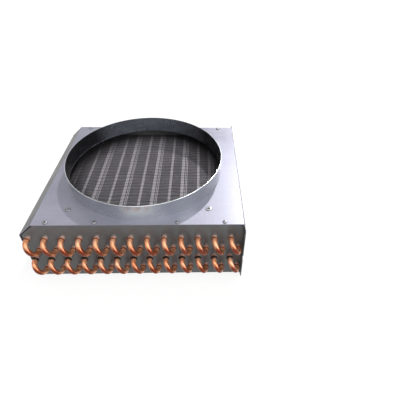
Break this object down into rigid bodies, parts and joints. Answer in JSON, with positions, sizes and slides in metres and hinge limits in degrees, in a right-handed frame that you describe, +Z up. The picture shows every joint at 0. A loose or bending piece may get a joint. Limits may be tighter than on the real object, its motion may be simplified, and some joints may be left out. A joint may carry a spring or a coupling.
{
  "type": "refrigeration condenser",
  "caption": "Air-cooled finned copper tube condenser with folded sheet cover, raised round fan ring and side foot flanges for a small refrigeration unit.",
  "frame": {"origin": "on the floor under the middle of the whole outline, with the bends and stubs counted", "axes": "+X along the rows of tube ends to the foot side, +Y from the return bends to the ports, +Z up through the fan ring"},
  "size_m": [0.336, 0.331, 0.145],
  "materials": {
    "cover_steel": "galvanised sheet, satin",
    "ring_steel": "galvanised sheet, satin",
    "sheet_steel": "galvanised sheet, dull",
    "fin_aluminium": "rolled foil, satin",
    "tube_copper": "bare copper, bright",
    "zinc_plated": "zinc plated, bright"
  },
  "bodies": {
    "root": {"crossover_hairpin": "tube_copper", "fan_cover": "cover_steel", "fan_ring": "ring_steel", "fan_rivet_nuts": "zinc_plated", "fin_pack": "fin_aluminium", "front_cover_screws": "zinc_plated", "front_side_rivets": "zinc_plated", "front_tube_sheet": "sheet_steel", "inlet_stub": "tube_copper", "inlet_tube": "tube_copper", "left_side_plate": "sheet_steel", "lower_hairpins": "tube_copper", "lower_return_bend_01": "tube_copper", "lower_return_bend_02": "tube_copper", "lower_return_bend_03": "tube_copper", "lower_return_bend_04": "tube_copper", "lower_return_bend_05": "tube_copper", "lower_return_bend_06": "tube_copper", "lower_return_bend_07": "tube_copper", "lower_return_bend_08": "tube_copper", "lower_return_bend_09": "tube_copper", "lower_return_bend_10": "tube_copper", "lower_return_bend_11": "tube_copper", "lower_return_bend_12": "tube_copper", "lower_return_bend_13": "tube_copper", "outlet_stub": "tube_copper", "outlet_tube": "tube_copper", "rear_cover_screws": "zinc_plated", "rear_side_rivets": "zinc_plated", "rear_tube_sheet": "sheet_steel", "right_side_plate": "sheet_steel", "upper_hairpins": "tube_copper", "upper_return_bend_01": "tube_copper", "upper_return_bend_02": "tube_copper", "upper_return_bend_03": "tube_copper", "upper_return_bend_04": "tube_copper", "upper_return_bend_05": "tube_copper", "upper_return_bend_06": "tube_copper", "upper_return_bend_07": "tube_copper", "upper_return_bend_08": "tube_copper", "upper_return_bend_09": "tube_copper", "upper_return_bend_10": "tube_copper", "upper_return_bend_11": "tube_copper", "upper_return_bend_12": "tube_copper", "upper_return_bend_13": "tube_copper"}
  },
  "joints": []
}
